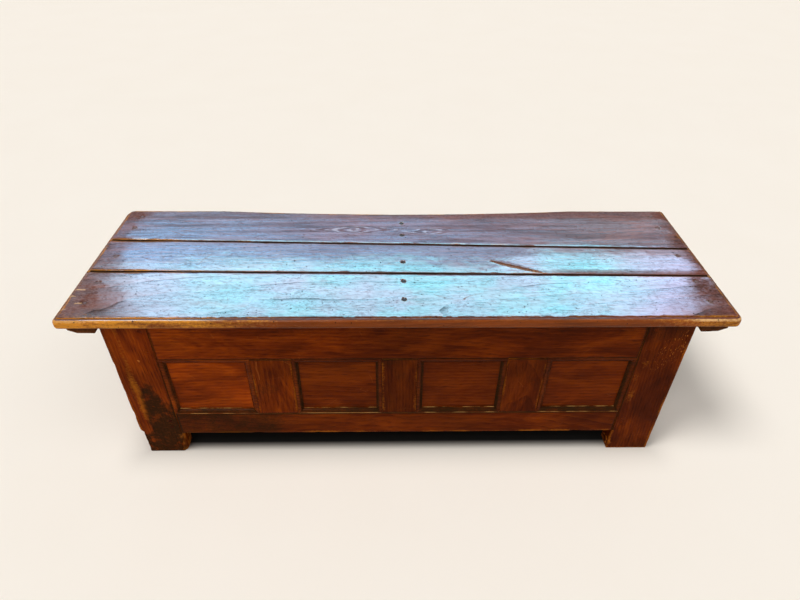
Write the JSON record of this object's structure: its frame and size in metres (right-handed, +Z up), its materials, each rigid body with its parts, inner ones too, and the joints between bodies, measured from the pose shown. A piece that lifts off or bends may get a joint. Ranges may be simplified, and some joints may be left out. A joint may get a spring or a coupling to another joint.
{
  "type": "blanket chest",
  "caption": "Long low joined chest: panelled front with mitred mouldings, boarded floor, post feet, and a boarded lid on cleats that lifts on strap hinges at the back.",
  "frame": {"origin": "on the floor, under the middle of the closed chest's box", "axes": "+Z up, front panels face -Y, length along X with +X to the right seen from the front"},
  "size_m": [1.5, 0.475, 0.474],
  "materials": {
    "frame_wood": "old red-brown varnish, worn",
    "panel_wood": "old red-brown varnish",
    "moulding_wood": "old dark varnish, rubbed",
    "lid_wood": "waxed, scratched and wormed",
    "cleat_wood": "old dark varnish",
    "floor_wood": "bare, dusty",
    "peg_wood": "old red-brown varnish",
    "old_iron": "blackened, lightly rusted"
  },
  "bodies": {
    "chest": {"back_bottom_rail": "frame_wood", "back_left_post": "frame_wood", "back_muntin_1": "frame_wood", "back_muntin_2": "frame_wood", "back_panel_1": "panel_wood", "back_panel_2": "panel_wood", "back_panel_3": "panel_wood", "back_pegs": "peg_wood", "back_right_post": "frame_wood", "back_top_rail": "frame_wood", "end_pegs": "peg_wood", "floor_board_1": "floor_wood", "floor_board_2": "floor_wood", "floor_board_3": "floor_wood", "floor_board_4": "floor_wood", "floor_board_5": "floor_wood", "floor_board_6": "floor_wood", "floor_board_7": "floor_wood", "floor_ledge_back": "floor_wood", "floor_ledge_front": "floor_wood", "floor_ledge_left": "floor_wood", "floor_ledge_right": "floor_wood", "floor_nails": "old_iron", "front_bottom_rail": "frame_wood", "front_left_post": "frame_wood", "front_moulding_1": "moulding_wood", "front_moulding_2": "moulding_wood", "front_moulding_3": "moulding_wood", "front_moulding_4": "moulding_wood", "front_muntin_1": "frame_wood", "front_muntin_2": "frame_wood", "front_muntin_3": "frame_wood", "front_panel_1": "panel_wood", "front_panel_2": "panel_wood", "front_panel_3": "panel_wood", "front_panel_4": "panel_wood", "front_pegs": "peg_wood", "front_right_post": "frame_wood", "front_top_rail": "frame_wood", "hinge_back_nails": "old_iron", "hinge_pins": "old_iron", "left_bottom_rail": "frame_wood", "left_hinge_back_strap": "old_iron", "left_panel": "panel_wood", "left_top_rail": "frame_wood", "right_bottom_rail": "frame_wood", "right_hinge_back_strap": "old_iron", "right_panel": "panel_wood", "right_top_rail": "frame_wood"},
    "lid": {"lid_front_board": "lid_wood", "lid_middle_board": "lid_wood", "lid_back_board": "lid_wood", "lid_left_cleat": "cleat_wood", "lid_right_cleat": "cleat_wood", "lid_centre_cleat": "cleat_wood", "lid_nails": "old_iron", "left_hinge_lid_strap": "old_iron", "right_hinge_lid_strap": "old_iron", "hinge_lid_nails": "old_iron"}
  },
  "joints": [
    {"name": "lid_hinge", "type": "hinge", "parent": "chest", "child": "lid", "pos_m": [0, 0.2238, 0.4445], "axis": [-1, 0, 0], "range_deg": [0, 120]}
  ]
}
